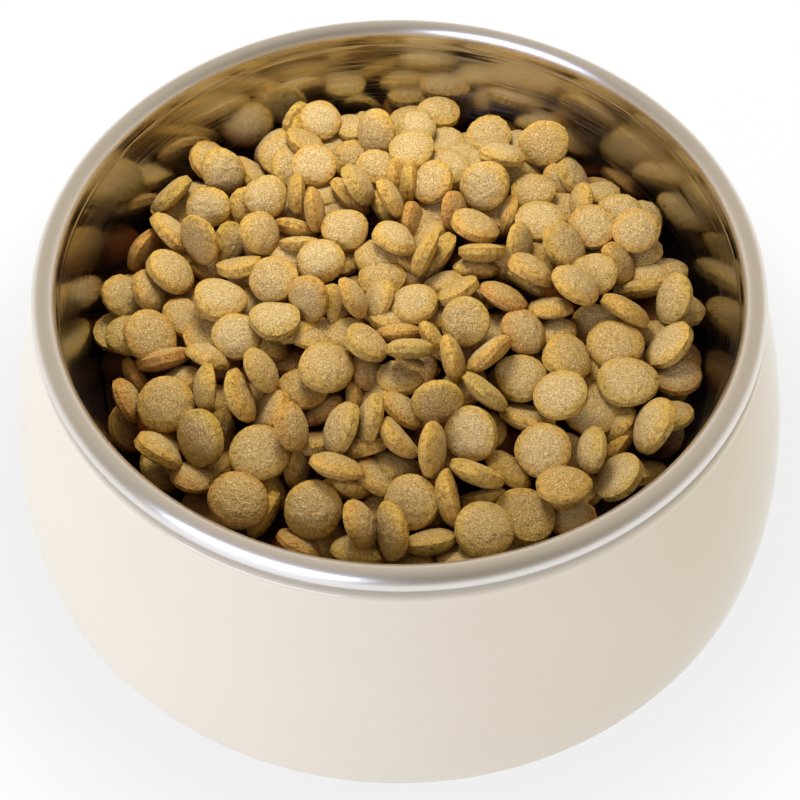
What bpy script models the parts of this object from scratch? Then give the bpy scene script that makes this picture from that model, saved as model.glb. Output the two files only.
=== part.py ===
"""Pet food bowl filled with dry kibble.

A glossy moulded shell, open underneath, carries a spun steel liner by its rolled
rim. A rubber ring sits in the shell's foot. The liner holds a heap of kibble: the
packed lower part is one solid, and the pieces lying on top of it are solids of
their own. Metres, +Z up, origin on the floor at the middle of the bowl; the front
of the bowl faces -Y.
"""
import math

import bmesh
import bpy
import numpy as np
from mathutils import Matrix, Vector

# Overall sizes
HEIGHT = 0.0695            # floor to the top of the rolled rim
RIM_RADIUS = 0.0850        # outside of the rolled rim
BASE_RADIUS = 0.1040       # widest part of the shell, at the floor

# Steel liner
SHEET = 0.0008             # sheet thickness
CURL_RADIUS = 0.0027       # outside radius of the rolled rim's section
CURL_END = -75.0           # degrees: where the rolled edge stops under the rim
NECK = 0.0025              # plain upright band below the rolled rim
DRAFT = 8.0                # degrees: slope of the liner's wall
LINER_DEPTH = 0.0525       # top of the rim to the inside of the liner's floor
CORNER_RADIUS = 0.0140     # inside radius between the liner's wall and floor

# Shell
LIP_PROUD = 0.0008         # the shell's top edge stands out past the rolled rim
LIP_DEPTH = 0.0050         # height of the thick band that carries the rolled rim
LIP_CHAMFER = 0.0021       # slope under that band
SHOULDER = 0.0011          # rounding outside the seat
SHELL_WALL = 0.0032
BELL_POWER = 1.55          # how early the bell widens below the lip
FOOT_WIDTH = 0.0095
FOOT_HEIGHT = 0.0050
FOOT_CHAMFER = 0.0055      # slope from the thick foot up to the wall
FOOT_ROUND = 0.0010
FOOT_LIFT = 0.0010         # the shell's foot stands clear of the floor

# Rubber ring in the foot
RING_INSET = 0.0056        # base's edge to the ring's middle line
RING_WIDTH = 0.0040
RING_GRIP = 0.0022         # depth of the groove that holds the ring
RING_ROUND = 0.0006

# Kibble
KIBBLE_DIAMETER = 0.0125
KIBBLE_THICKNESS = 0.0053
HEAP_MIDDLE = 0.0183       # packed heap's top below the rim's top, at the middle
HEAP_DROP = 0.0064         # how much lower the packed heap is at the wall

CLEARANCE = 0.0003         # between pieces that touch
KIBBLE_CLEARANCE = 0.00035

# Fineness
ROUND_STEPS = 60
CORNER_STEPS = 6
BELL_STEPS = 12
KIBBLE_STEPS = 16
FIELD_CELL = 0.0004

# The kibbles that lie on top of the heap, lowest first. Each row is its place across
# and to the back as shares of the heap's reach, its tilt in degrees, the direction
# that its face leans to in degrees from +X, and its diameter as a share of the usual.
TOP_KIBBLES = (
    # along the back, left to right
    (-0.67, 0.58, 60, 310, 0.98),
    (-0.71, 0.41, 40, 250, 0.92),
    (-0.50, 0.46, 25, 280, 0.92),
    (-0.32, 0.91, 25, 290, 0.92),
    (-0.33, 0.62, 20, 280, 0.96),
    (-0.10, 0.79, 60, 230, 1.00),
    (0.04, 0.68, 10, 220, 1.02),
    (0.12, 0.52, 35, 210, 0.94),
    (0.31, 0.49, 50, 240, 1.04),
    (0.55, 0.77, 40, 240, 1.06),
    (0.51, 0.36, 5, 190, 1.04),
    (0.27, 0.30, 25, 40, 1.02),
    (0.70, 0.34, 15, 240, 1.00),
    (0.85, 0.29, 25, 240, 0.96),
    (-0.20, 0.28, 15, 280, 0.94),
    (0.59, 0.22, 35, 340, 1.02),
    # the left and the middle
    (-0.72, 0.22, 70, 230, 1.02),
    (-0.81, 0.09, 40, 10, 1.00),
    (-0.62, -0.04, 20, 20, 1.04),
    (-0.84, -0.19, 40, 340, 1.06),
    (-0.55, -0.19, 15, 300, 0.94),
    (-0.50, 0.25, 50, 340, 0.94),
    (-0.44, 0.05, 20, 250, 0.98),
    (-0.28, 0.13, 15, 240, 0.98),
    (-0.31, -0.06, 60, 230, 0.92),
    (-0.42, -0.14, 10, 70, 0.96),
    (-0.24, -0.33, 15, 10, 1.08),
    (0.05, -0.06, 10, 170, 0.92),
    (0.22, -0.15, 40, 230, 0.98),
    (-0.11, -0.24, 35, 30, 0.92),
    (-0.02, 0.23, 25, 30, 0.96),
    # the right
    (0.42, -0.17, 25, 340, 0.96),
    (0.40, -0.35, 0, 250, 0.98),
    (0.68, 0.09, 15, 210, 0.94),
    (0.60, -0.01, 25, 20, 1.02),
    (0.73, -0.20, 10, 210, 1.08),
    (0.56, -0.27, 20, 10, 1.02),
    (0.95, -0.01, 65, 190, 1.00),
    # along the front, left to right
    (-0.76, -0.45, 15, 300, 1.08),
    (-0.63, -0.59, 50, 220, 1.04),
    (-0.44, -0.64, 10, 310, 1.08),
    (-0.49, -0.81, 20, 340, 1.06),
    (-0.26, -0.83, 20, 250, 1.04),
    (0.23, -0.58, 40, 220, 1.00),
    (0.46, -0.62, 15, 230, 1.02),
    (0.52, -0.45, 20, 180, 1.00),
    (0.75, -0.37, 10, 170, 1.10),
    (0.04, -0.81, 25, 220, 1.00),
    (0.39, -0.84, 10, 20, 1.08),
    (0.26, -0.92, 10, 0, 1.04),
    (0.51, -0.77, 25, 100, 0.98),
    (-0.02, -0.92, 70, 200, 1.00),
    (0.82, -0.54, 65, 170, 1.10),
    (0.69, -0.71, 45, 160, 0.96),
    (0.91, -0.21, 50, 160, 1.04),
    (-0.18, -0.57, 55, 180, 0.98),
)
SPIN_STEP = 137.5          # degrees that each kibble is turned on its own axis after the last

# Worked out from the sizes above
CURL_MIDDLE = (RIM_RADIUS - CURL_RADIUS, HEIGHT - CURL_RADIUS)
NECK_RADIUS = RIM_RADIUS - 2 * CURL_RADIUS
NECK_BOTTOM = CURL_MIDDLE[1] - NECK
LINER_FLOOR = HEIGHT - LINER_DEPTH
SEAT_HEIGHT = HEIGHT - 2 * CURL_RADIUS - CLEARANCE
LIP_RADIUS = RIM_RADIUS + LIP_PROUD
RING_MIDDLE = BASE_RADIUS - RING_INSET
DRAFT_ANGLE = math.radians(DRAFT)


def make_material(name, colour, roughness, metallic=0.0):
    """A Principled material with a plain colour."""
    material = bpy.data.materials.new(name)
    material.use_nodes = True
    shader = material.node_tree.nodes["Principled BSDF"]
    shader.inputs["Base Color"].default_value = (*colour, 1.0)
    shader.inputs["Roughness"].default_value = roughness
    shader.inputs["Metallic"].default_value = metallic
    material.diffuse_color = (*colour, 1.0)
    return material


def arc(middle, radius, start, end, steps):
    """Points (radius, height) on an arc about middle, from start to end in degrees."""
    angles = [math.radians(start + (end - start) * k / steps) for k in range(steps + 1)]
    return [(middle[0] + radius * math.cos(a), middle[1] + radius * math.sin(a)) for a in angles]


def place_body(name, mesh_builder, material, smooth_angle=35.0):
    """Put a bmesh into the scene as one named object, faces pointing outwards."""
    bmesh.ops.recalc_face_normals(mesh_builder, faces=mesh_builder.faces)
    mesh = bpy.data.meshes.new(name)
    mesh_builder.to_mesh(mesh)
    mesh_builder.free()
    mesh.shade_smooth()
    mesh.set_sharp_from_angle(angle=math.radians(smooth_angle))
    mesh.materials.append(material)
    body = bpy.data.objects.new(name, mesh)
    bpy.context.collection.objects.link(body)
    return body


def turned_body(name, profile, material, closed):
    """Spin a profile of (radius, height) points about Z.

    A closed profile is a ring's section. An open one starts and ends on the axis.
    """
    builder = bmesh.new()
    points = [builder.verts.new((radius, 0.0, height)) for radius, height in profile]
    pairs = list(zip(points, points[1:]))
    if closed:
        pairs.append((points[-1], points[0]))
    edges = [builder.edges.new(pair) for pair in pairs]
    bmesh.ops.spin(builder, geom=points + edges, cent=(0, 0, 0), axis=(0, 0, 1),
                   angle=math.tau, steps=ROUND_STEPS, use_merge=True)
    bmesh.ops.remove_doubles(builder, verts=builder.verts, dist=1e-6)
    return place_body(name, builder, material)


def liner_wall_radius(height):
    """Inside radius of the liner's sloping wall at a height."""
    return NECK_RADIUS - max(0.0, NECK_BOTTOM - height) * math.tan(DRAFT_ANGLE)


def liner_corner(inset):
    """Middle and radius of the arc between wall and floor, inset from the liner's inside."""
    middle_height = LINER_FLOOR + CORNER_RADIUS
    tangent_height = middle_height - CORNER_RADIUS * math.sin(DRAFT_ANGLE)
    middle_radius = liner_wall_radius(tangent_height) - CORNER_RADIUS * math.cos(DRAFT_ANGLE)
    return (middle_radius, middle_height), CORNER_RADIUS - inset


def steel_liner():
    """Spun bowl: floor, corner, sloping wall, neck and a rim rolled out and under."""
    middle, inside = liner_corner(0.0)
    profile = [(0.0, LINER_FLOOR)]
    profile += arc(middle, inside, -90, -DRAFT, CORNER_STEPS)
    profile.append((NECK_RADIUS, NECK_BOTTOM))
    profile += arc(CURL_MIDDLE, CURL_RADIUS, 180, CURL_END, 12)
    profile += arc(CURL_MIDDLE, CURL_RADIUS - SHEET, CURL_END, 180, 8)
    profile.append((NECK_RADIUS + SHEET, NECK_BOTTOM - SHEET * math.tan(DRAFT_ANGLE / 2)))
    profile += arc(middle, inside + SHEET, -DRAFT, -90, CORNER_STEPS)
    profile.append((0.0, LINER_FLOOR - SHEET))
    steel = make_material("brushed_steel", (0.63, 0.60, 0.56), 0.18, 1.0)
    return turned_body("steel_liner", profile, steel, closed=False)


def bell_radius(height):
    """Outside radius of the shell at a height: it widens fast below the lip, then less."""
    share = (SEAT_HEIGHT - SHOULDER - height) / (SEAT_HEIGHT - SHOULDER - FOOT_LIFT)
    share = min(max(share, 0.0), 1.0)
    return LIP_RADIUS + (BASE_RADIUS - LIP_RADIUS) * (1 - (1 - share) ** BELL_POWER)


def shell_inner_radius(height):
    """Inside radius of the shell's wall, which is as thick as SHELL_WALL all the way down."""
    step = 0.0005
    slope = (bell_radius(height - step) - bell_radius(height)) / step
    return bell_radius(height) - SHELL_WALL * math.hypot(1, slope)


def heights_between(start, end):
    """Even steps of height along the bell."""
    return [start + (end - start) * k / BELL_STEPS for k in range(BELL_STEPS + 1)]


def outer_shell():
    """Moulded bell with a seat on top and a thick grooved foot, open underneath."""
    lip_height = SEAT_HEIGHT - SHOULDER
    outer_bottom = FOOT_LIFT + FOOT_ROUND
    foot_inner = BASE_RADIUS - FOOT_WIDTH
    foot_top = FOOT_LIFT + FOOT_HEIGHT
    groove_inner = RING_MIDDLE - RING_WIDTH / 2 - CLEARANCE
    groove_outer = RING_MIDDLE + RING_WIDTH / 2 + CLEARANCE
    groove_top = FOOT_LIFT + RING_GRIP
    band_inner = NECK_RADIUS + SHEET + CLEARANCE
    band_bottom = SEAT_HEIGHT - LIP_DEPTH

    profile = [(bell_radius(height), height) for height in heights_between(lip_height, outer_bottom)]
    foot_edge = (bell_radius(outer_bottom) - FOOT_ROUND, outer_bottom)
    profile += arc(foot_edge, FOOT_ROUND, 0, -90, 3)[1:]
    profile += [(groove_outer, FOOT_LIFT), (groove_outer, groove_top)]
    profile += [(groove_inner, groove_top), (groove_inner, FOOT_LIFT)]
    profile += [(foot_inner, FOOT_LIFT), (foot_inner, foot_top)]
    wall_heights = heights_between(foot_top + FOOT_CHAMFER, band_bottom)
    profile += [(shell_inner_radius(height), height) for height in wall_heights]
    profile += [(band_inner, band_bottom + LIP_CHAMFER), (band_inner, SEAT_HEIGHT)]
    profile += arc((LIP_RADIUS - SHOULDER, lip_height), SHOULDER, 90, 0, 3)[:-1]
    moulding = make_material("gloss_cream_moulding", (0.86, 0.82, 0.74), 0.18)
    return turned_body("outer_shell", profile, moulding, closed=True)


def base_ring():
    """Rubber ring that the bowl stands on, held in the foot's groove."""
    inner = RING_MIDDLE - RING_WIDTH / 2
    outer = RING_MIDDLE + RING_WIDTH / 2
    top = FOOT_LIFT + RING_GRIP - CLEARANCE
    profile = arc((outer - RING_ROUND, RING_ROUND), RING_ROUND, 0, -90, 2)
    profile += arc((inner + RING_ROUND, RING_ROUND), RING_ROUND, -90, -180, 2)
    profile += [(inner, top), (outer, top)]
    rubber = make_material("grey_rubber", (0.20, 0.20, 0.20), 0.7)
    return turned_body("base_ring", profile, rubber, closed=True)


def heap_wall_radius():
    """Outside radius of the packed heap where its top meets the liner."""
    height = HEIGHT - HEAP_MIDDLE - HEAP_DROP
    return liner_wall_radius(height) - CLEARANCE / math.cos(DRAFT_ANGLE)


def heap_top(radius):
    """Height of the packed heap's top: a low dome."""
    return HEIGHT - HEAP_MIDDLE - HEAP_DROP * (radius / heap_wall_radius()) ** 2


def kibble_bed():
    """The packed lower kibble as one solid that fills the liner below the top layer."""
    middle, radius = liner_corner(CLEARANCE)
    steps = 8
    profile = [(0.0, LINER_FLOOR + CLEARANCE)]
    profile += arc(middle, radius, -90, -DRAFT, CORNER_STEPS)
    rim = heap_wall_radius()
    profile += [(rim * k / steps, heap_top(rim * k / steps)) for k in range(steps, -1, -1)]
    kibble = make_material("packed_kibble", (0.33, 0.22, 0.09), 0.85)
    return turned_body("kibble_bed", profile, kibble, closed=False)


def kibble_shape(size):
    """Corners and faces of one lens-shaped kibble lying flat about its own middle."""
    radius = KIBBLE_DIAMETER / 2 * size
    half = KIBBLE_THICKNESS / 2 * (1 + size) / 2
    face_radius, face_height = 0.72 * radius, 0.68 * half
    rings = ((face_radius, face_height), (radius, 0.0), (face_radius, -face_height))
    angles = [math.tau * k / KIBBLE_STEPS for k in range(KIBBLE_STEPS)]
    corners = [(0.0, 0.0, half)]
    for ring_radius, height in rings:
        corners += [(ring_radius * math.cos(a), ring_radius * math.sin(a), height) for a in angles]
    corners.append((0.0, 0.0, -half))
    faces = []
    for k in range(KIBBLE_STEPS):
        after = (k + 1) % KIBBLE_STEPS
        starts = [1 + KIBBLE_STEPS * ring for ring in range(len(rings))]
        faces.append((0, starts[0] + k, starts[0] + after))
        for upper, lower in zip(starts, starts[1:]):
            faces.append((upper + k, lower + k, lower + after, upper + after))
        faces.append((starts[-1] + k, len(corners) - 1, starts[-1] + after))
    return corners, faces


class HeapField:
    """Height of everything laid so far, on a square grid seen from above."""

    def __init__(self):
        self.reach = RIM_RADIUS
        self.count = int(2 * self.reach / FIELD_CELL) + 1
        axis = -self.reach + FIELD_CELL * np.arange(self.count)
        self.across, self.back = np.meshgrid(axis, axis, indexing="ij")
        self.height = heap_top(np.hypot(self.across, self.back))

    def patch(self, place, radius):
        """Slices of the grid under a piece of this radius."""
        slices = []
        for middle in place:
            first = int((middle - radius + self.reach) / FIELD_CELL)
            last = int((middle + radius + self.reach) / FIELD_CELL) + 2
            slices.append(slice(max(first, 0), min(last, self.count)))
        return tuple(slices)

    def spans(self, planes, place, area, margin):
        """Lowest and highest height of a convex piece, with a margin, over the cells."""
        across = self.across[area] - place[0]
        back = self.back[area] - place[1]
        low = np.full(across.shape, -np.inf)
        high = np.full(across.shape, np.inf)
        for normal, distance in planes:
            level = distance + margin - normal.x * across - normal.y * back
            if normal.z > 1e-6:
                high = np.minimum(high, level / normal.z)
            elif normal.z < -1e-6:
                low = np.maximum(low, level / normal.z)
            else:
                high[level < 0] = -np.inf
        return low, high

    def drop(self, corners, faces, place):
        """Lower a piece straight down until it is its clearance from what lies below."""
        planes = []
        for face in faces:
            first, second, third = (corners[index] for index in face[:3])
            normal = (second - first).cross(third - first).normalized()
            planes.append((normal, normal.dot(first)))
        radius = max(corner.xy.length for corner in corners) + 2 * KIBBLE_CLEARANCE
        area = self.patch(place, radius)
        low, high = self.spans(planes, place, area, KIBBLE_CLEARANCE)
        under = high >= low
        rest = float((self.height[area][under] - low[under]).max())
        low, high = self.spans(planes, place, area, 0.0)
        over = high >= low
        self.height[area][over] = np.maximum(self.height[area][over], rest + high[over])
        return rest


def top_kibbles():
    """Lay the top kibbles one by one; each rests on the heap or on one laid before."""
    crust = make_material("baked_kibble", (0.42, 0.29, 0.13), 0.8)
    field = HeapField()
    wall_side = HEIGHT - HEAP_MIDDLE - HEAP_DROP + KIBBLE_THICKNESS / 2
    reach = liner_wall_radius(wall_side) - KIBBLE_DIAMETER / 2 - CLEARANCE
    for index, (across, back, tilt, lean, size) in enumerate(TOP_KIBBLES):
        turn = Matrix.Rotation(math.radians(lean), 4, "Z")
        turn = turn @ Matrix.Rotation(math.radians(tilt), 4, "Y")
        turn = turn @ Matrix.Rotation(math.radians(index * SPIN_STEP), 4, "Z")
        flat_corners, faces = kibble_shape(size)
        corners = [turn @ Vector(corner) for corner in flat_corners]
        place = (across * reach, back * reach)
        rest = field.drop(corners, faces, place)
        builder = bmesh.new()
        points = [builder.verts.new(corner) for corner in flat_corners]
        for face in faces:
            builder.faces.new([points[corner] for corner in face])
        body = place_body(f"kibble_{index + 1:02d}", builder, crust, 60.0)
        body.matrix_world = Matrix.Translation((*place, rest)) @ turn


def main():
    for old in list(bpy.data.objects):
        bpy.data.objects.remove(old, do_unlink=True)
    outer_shell()
    base_ring()
    steel_liner()
    kibble_bed()
    top_kibbles()


main()
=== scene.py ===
import math
import bmesh
import bpy
import numpy as np
from mathutils import Matrix, Vector


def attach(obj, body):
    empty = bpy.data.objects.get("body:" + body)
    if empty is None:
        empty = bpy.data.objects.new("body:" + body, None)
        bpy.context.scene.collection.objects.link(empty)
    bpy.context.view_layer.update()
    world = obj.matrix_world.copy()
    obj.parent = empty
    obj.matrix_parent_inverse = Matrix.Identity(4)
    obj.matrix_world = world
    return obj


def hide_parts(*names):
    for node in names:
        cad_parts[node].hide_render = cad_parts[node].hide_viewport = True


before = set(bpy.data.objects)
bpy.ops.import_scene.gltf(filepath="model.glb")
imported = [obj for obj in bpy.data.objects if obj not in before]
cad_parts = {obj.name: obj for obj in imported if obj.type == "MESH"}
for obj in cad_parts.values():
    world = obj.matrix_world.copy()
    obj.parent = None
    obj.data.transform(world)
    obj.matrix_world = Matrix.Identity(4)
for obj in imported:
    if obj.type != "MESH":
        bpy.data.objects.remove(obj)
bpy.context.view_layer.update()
millimetre = 0.001


def linearColour(hexCode):
    # sRGB hex to linear red, green, blue and alpha
    channels = [int(hexCode[i:i + 2], 16) / 255 for i in (1, 3, 5)]
    linear = [c / 12.92 if c <= 0.04045 else ((c + 0.055) / 1.055) ** 2.4 for c in channels]
    return linear + [1.0]


def addNode(tree, kind, settings=(), links=()):
    # settings: an input's name or number, or an attribute of the node
    # links: an input and the other node's output that feeds it
    node = tree.nodes.new(kind)
    for key, value in dict(settings).items():
        if isinstance(key, str) and hasattr(node, key):
            setattr(node, key, value)
        else:
            node.inputs[key].default_value = value
    for key, output in dict(links).items():
        tree.links.new(output, node.inputs[key])
    return node


def newMaterial(name):
    material = bpy.data.materials.new(name)
    material.use_nodes = True
    tree = material.node_tree
    return material, tree, tree.nodes["Principled BSDF"]


def colourRamp(tree, factor, stops):
    ramp = addNode(tree, "ShaderNodeValToRGB", links={0: factor})
    while len(ramp.color_ramp.elements) < len(stops):
        ramp.color_ramp.elements.new(0.5)
    for element, (place, colour) in zip(ramp.color_ramp.elements, stops):
        element.position = place
        element.color = colour if isinstance(colour, list) else [colour, colour, colour, 1.0]
    return ramp.outputs["Color"]


def meshPiece(name, points, quads, material, triangles=None, smoothAngle=40):
    # one object at the origin from whole arrays of points and faces
    mesh = bpy.data.meshes.new(name)
    faces = quads.tolist() + ([] if triangles is None else triangles.tolist())
    mesh.from_pydata(points.reshape(-1, 3).tolist(), [], faces)
    mesh.validate()
    mesh.shade_smooth()
    mesh.set_sharp_from_angle(angle=math.radians(smoothAngle))
    mesh.materials.append(material)
    piece = bpy.data.objects.new(name, mesh)
    bpy.context.collection.objects.link(piece)
    return piece


def turnedPiece(name, profile, material, around, smoothAngle=40):
    # a closed (radius, height) outline carried round Z: x = r cos a, y = r sin a, z = h
    profile = np.array(profile, float)
    angles = 2 * np.pi * np.arange(around) / around
    radius, height = profile[:, 0], profile[:, 1]
    grid = np.stack([np.outer(np.cos(angles), radius), np.outer(np.sin(angles), radius),
                     np.tile(height, (around, 1))], axis=-1)
    count = len(profile)
    i, j = np.meshgrid(np.arange(around), np.arange(count), indexing="ij")
    nextI, nextJ = (i + 1) % around, (j + 1) % count
    quads = np.stack([i * count + j, nextI * count + j,
                      nextI * count + nextJ, i * count + nextJ], -1).reshape(-1, 4)
    piece = meshPiece(name, grid, quads, material, smoothAngle=smoothAngle)
    closeTurned(piece)
    return piece


# what counts as one point, and as no edge or face, when a turned shape is closed
closing = {"sameSpot": 1e-7, "noEdge": 1e-8, "noFace": 1e-14}


def closeTurned(piece):
    # merges the points on the axis, drops the faces that they flatten and turns all faces outwards
    builder = bmesh.new()
    builder.from_mesh(piece.data)
    bmesh.ops.remove_doubles(builder, verts=builder.verts, dist=closing["sameSpot"])
    bmesh.ops.dissolve_degenerate(builder, edges=builder.edges, dist=closing["noEdge"])
    onAxis = [f for f in builder.faces if f.calc_area() < closing["noFace"]]
    bmesh.ops.delete(builder, geom=onAxis, context="FACES_ONLY")
    bmesh.ops.recalc_face_normals(builder, faces=builder.faces)
    builder.to_mesh(piece.data)
    builder.free()


def arcPoints(middle, radius, start, end, steps):
    # points on a circle about middle, from start to end degrees
    angles = np.radians(np.linspace(start, end, steps + 1))
    return [(middle[0] + radius * math.cos(a), middle[1] + radius * math.sin(a)) for a in angles]


# sizes that the pieces share with the CAD model, in metres
bowl = {
    "height": 0.06948,         # this and the base are a hair under the CAD's, to stay in its box
    "rimRadius": 0.0850,
    "baseRadius": 0.10399,
    "curlRadius": 0.0027,
    "sheet": 0.0008,
    "neck": 0.0025,
    "draft": math.radians(8),
    "linerDepth": 0.0525,
    "cornerRadius": 0.0140,
    "clearance": 0.0003,
}


def wallRadius(height):
    # inside of the liner: upright neck, then a wall that slopes in by the draft
    neckBottom = bowl["height"] - bowl["curlRadius"] - bowl["neck"]
    neckRadius = bowl["rimRadius"] - 2 * bowl["curlRadius"]
    return neckRadius - np.maximum(0, neckBottom - height) * math.tan(bowl["draft"])


# camera, as it was worked out from the outlines of the rim, the foot and the shell's sides
camera = {
    "place": (0.0, -0.17208, 0.26236),
    "aim": (0.00027, -0.03595, 0.0595),
    "roll": 0.648,           # degrees
    "focalLength": 49.5,     # mm on a 36 mm sensor
    "sensor": 36.0,
    "imageWidth": 800,       # pixels
    "nearest": 0.01,         # metres
    "farthest": 20.0,
}


def makeCamera():
    data = bpy.data.cameras.new("photoCamera")
    data.lens = camera["focalLength"]
    data.sensor_width = camera["sensor"]
    data.sensor_fit = "HORIZONTAL"
    data.clip_start = camera["nearest"]
    data.clip_end = camera["farthest"]
    eye = bpy.data.objects.new("photoCamera", data)
    look = Vector(camera["aim"]) - Vector(camera["place"])
    roll = Matrix.Rotation(math.radians(camera["roll"]), 3, "Z")
    turn = look.to_track_quat("-Z", "Y").to_matrix() @ roll
    eye.matrix_world = Matrix.Translation(camera["place"]) @ turn.to_4x4()
    bpy.context.collection.objects.link(eye)
    bpy.context.scene.camera = eye
    return np.array(turn)


cameraAxes = makeCamera()
print("camera made")


# melamine, compression moulded and buffed: even cream colour, mirror-smooth gloss with a faint
# waviness from the mould and a few hair scuffs, so highlights are long and soft at their ends
melamine = {
    "colour": "#E4DBC4",
    "shade": "#DED4BB",
    "ior": 1.52,
    # from none of the scuffs' noise to the worst of it
    "roughness": {"From Min": 0.60, "From Max": 0.78, "To Min": 0.11, "To Max": 0.27},
    "waveSpacing": 38 * millimetre,
    "waveDepth": 0.02 * millimetre,
    "scuffSpacing": 9 * millimetre,
    "scuffStretch": (1.0, 1.0, 7.0),    # scuffs run round the bowl more than up it
}


def melamineMaterial():
    material, tree, shader = newMaterial("buffedMelamine")
    place = addNode(tree, "ShaderNodeTexCoord").outputs["Object"]
    cloud = addNode(tree, "ShaderNodeTexNoise",
                    {"Scale": 1 / melamine["waveSpacing"], "Detail": 2.0}, {"Vector": place})
    tint = addNode(tree, "ShaderNodeMix",
                   {"data_type": "RGBA", 6: linearColour(melamine["colour"]),
                    7: linearColour(melamine["shade"])}, {0: cloud.outputs["Fac"]})
    tree.links.new(tint.outputs[2], shader.inputs["Base Color"])
    stretch = addNode(tree, "ShaderNodeMapping", {"Scale": melamine["scuffStretch"]},
                      {"Vector": place})
    scuff = addNode(tree, "ShaderNodeTexNoise",
                    {"Scale": 1 / melamine["scuffSpacing"], "Detail": 6.0, "Roughness": 0.7},
                    {"Vector": stretch.outputs["Vector"]})
    gloss = addNode(tree, "ShaderNodeMapRange", melamine["roughness"],
                    {"Value": scuff.outputs["Fac"]})
    tree.links.new(gloss.outputs["Result"], shader.inputs["Roughness"])
    bump = addNode(tree, "ShaderNodeBump", {"Strength": 1.0, "Distance": melamine["waveDepth"]},
                   {"Height": cloud.outputs["Fac"]})
    tree.links.new(bump.outputs["Normal"], shader.inputs["Normal"])
    shader.inputs["IOR"].default_value = melamine["ior"]
    return material


# stainless sheet, spun and polished: a nearly clear mirror on the wall with fine rings from the
# spinning, softer on the rolled rim, which is rubbed by cloths and snouts
steel = {
    # the same steel is drawn darker on the wall and lighter on the rim: painted shade and painted
    # light
    "colour": "#C6C2BB",
    "rimColour": "#EEEBE7",
    "wallRoughness": 0.09,
    "rimRoughness": 0.31,
    "hazeRoughness": 0.27,              # along the coarser rings
    "hazeRange": {"From Min": 0.40, "From Max": 0.62},
    "grooving": 0.7,                    # how much more the rings blur up and down than sideways
    "grooveTurn": 0.25,                 # a quarter turn: the blur runs across the rings
    "ringSpacing": 0.35 * millimetre,   # real lines are finer than this and wouldn't show
    "ringDrift": 0.02,                  # how little a ring changes on its way round
    "ringDepth": 0.0004 * millimetre,
    "rimRings": 0.2,                    # the share of the rings that is left on the rim
    "rimRange": {"From Min": 65.5 * millimetre, "From Max": 67.2 * millimetre},
    "dentSpacing": 22 * millimetre,
    "dentDepth": 0.05 * millimetre,
}


def steelMaterial():
    material, tree, shader = newMaterial("spunStainless")
    place = addNode(tree, "ShaderNodeTexCoord").outputs["Object"]
    parts = addNode(tree, "ShaderNodeSeparateXYZ", links={"Vector": place})
    flat = addNode(tree, "ShaderNodeCombineXYZ", links={0: parts.outputs[0], 1: parts.outputs[1]})
    reach = addNode(tree, "ShaderNodeVectorMath", {"operation": "LENGTH"}, {0: flat.outputs[0]})
    # rings: a noise that changes fast with radius and height and hardly at all round the bowl
    slow = addNode(tree, "ShaderNodeVectorMath",
                   {"operation": "SCALE", "Scale": steel["ringDrift"]}, {0: flat.outputs[0]})
    along = addNode(tree, "ShaderNodeMath", {"operation": "ADD"},
                    {0: reach.outputs["Value"], 1: parts.outputs[2]})
    lane = addNode(tree, "ShaderNodeCombineXYZ", links={2: along.outputs[0]})
    ringPlace = addNode(tree, "ShaderNodeVectorMath", {"operation": "ADD"},
                        {0: slow.outputs[0], 1: lane.outputs[0]})
    rings = addNode(tree, "ShaderNodeTexNoise", {"Scale": 1 / steel["ringSpacing"], "Detail": 3.0},
                    {"Vector": ringPlace.outputs[0]})
    dents = addNode(tree, "ShaderNodeTexNoise", {"Scale": 1 / steel["dentSpacing"], "Detail": 1.0},
                    {"Vector": place})
    # 1 on the wall, little on the rim, where cloths have rubbed the rings away
    ringed = addNode(tree, "ShaderNodeMapRange",
                     steel["rimRange"] | {"To Min": 1.0, "To Max": steel["rimRings"]},
                     {"Value": parts.outputs[2]})
    plain = addNode(tree, "ShaderNodeMapRange",
                    steel["rimRange"] | {"To Min": steel["wallRoughness"],
                                         "To Max": steel["rimRoughness"]},
                    {"Value": parts.outputs[2]})
    coarse = addNode(tree, "ShaderNodeMapRange", steel["hazeRange"],
                     {"Value": rings.outputs["Fac"]})
    share = addNode(tree, "ShaderNodeMath", {"operation": "MULTIPLY"},
                    {0: coarse.outputs["Result"], 1: ringed.outputs["Result"]})
    haze = addNode(tree, "ShaderNodeMix", {"data_type": "FLOAT", 3: steel["hazeRoughness"]},
                   {0: share.outputs[0], 2: plain.outputs["Result"]})
    tree.links.new(haze.outputs[0], shader.inputs["Roughness"])
    fine = addNode(tree, "ShaderNodeBump", {"Distance": steel["ringDepth"]},
                   {"Strength": ringed.outputs["Result"], "Height": rings.outputs["Fac"]})
    broad = addNode(tree, "ShaderNodeBump", {"Strength": 1.0, "Distance": steel["dentDepth"]},
                    {"Height": dents.outputs["Fac"], "Normal": fine.outputs["Normal"]})
    tree.links.new(broad.outputs["Normal"], shader.inputs["Normal"])
    # painted light and shade: the rim's lighter colour and the wall's darker one follow the rings'
    # mask
    tint = addNode(tree, "ShaderNodeMix",
                   {"data_type": "RGBA", 6: linearColour(steel["rimColour"]),
                    7: linearColour(steel["colour"])}, {0: ringed.outputs["Result"]})
    tree.links.new(tint.outputs[2], shader.inputs["Base Color"])
    shader.inputs["Metallic"].default_value = 1.0
    shader.inputs["Anisotropic"].default_value = steel["grooving"]
    shader.inputs["Anisotropic Rotation"].default_value = steel["grooveTurn"]
    spin = addNode(tree, "ShaderNodeTangent", {"direction_type": "UV_MAP", "uv_map": "spinning"})
    tree.links.new(spin.outputs[0], shader.inputs["Tangent"])
    return material


# rubber, compression moulded: dull dark grey with a fine grain
rubber = {
    "colour": "#3A3A3B",
    "roughness": {"To Min": 0.64, "To Max": 0.82},
    "grain": 0.6 * millimetre,
    "grainStrength": 0.8,
    "grainDepth": 0.05 * millimetre,
}


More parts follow.
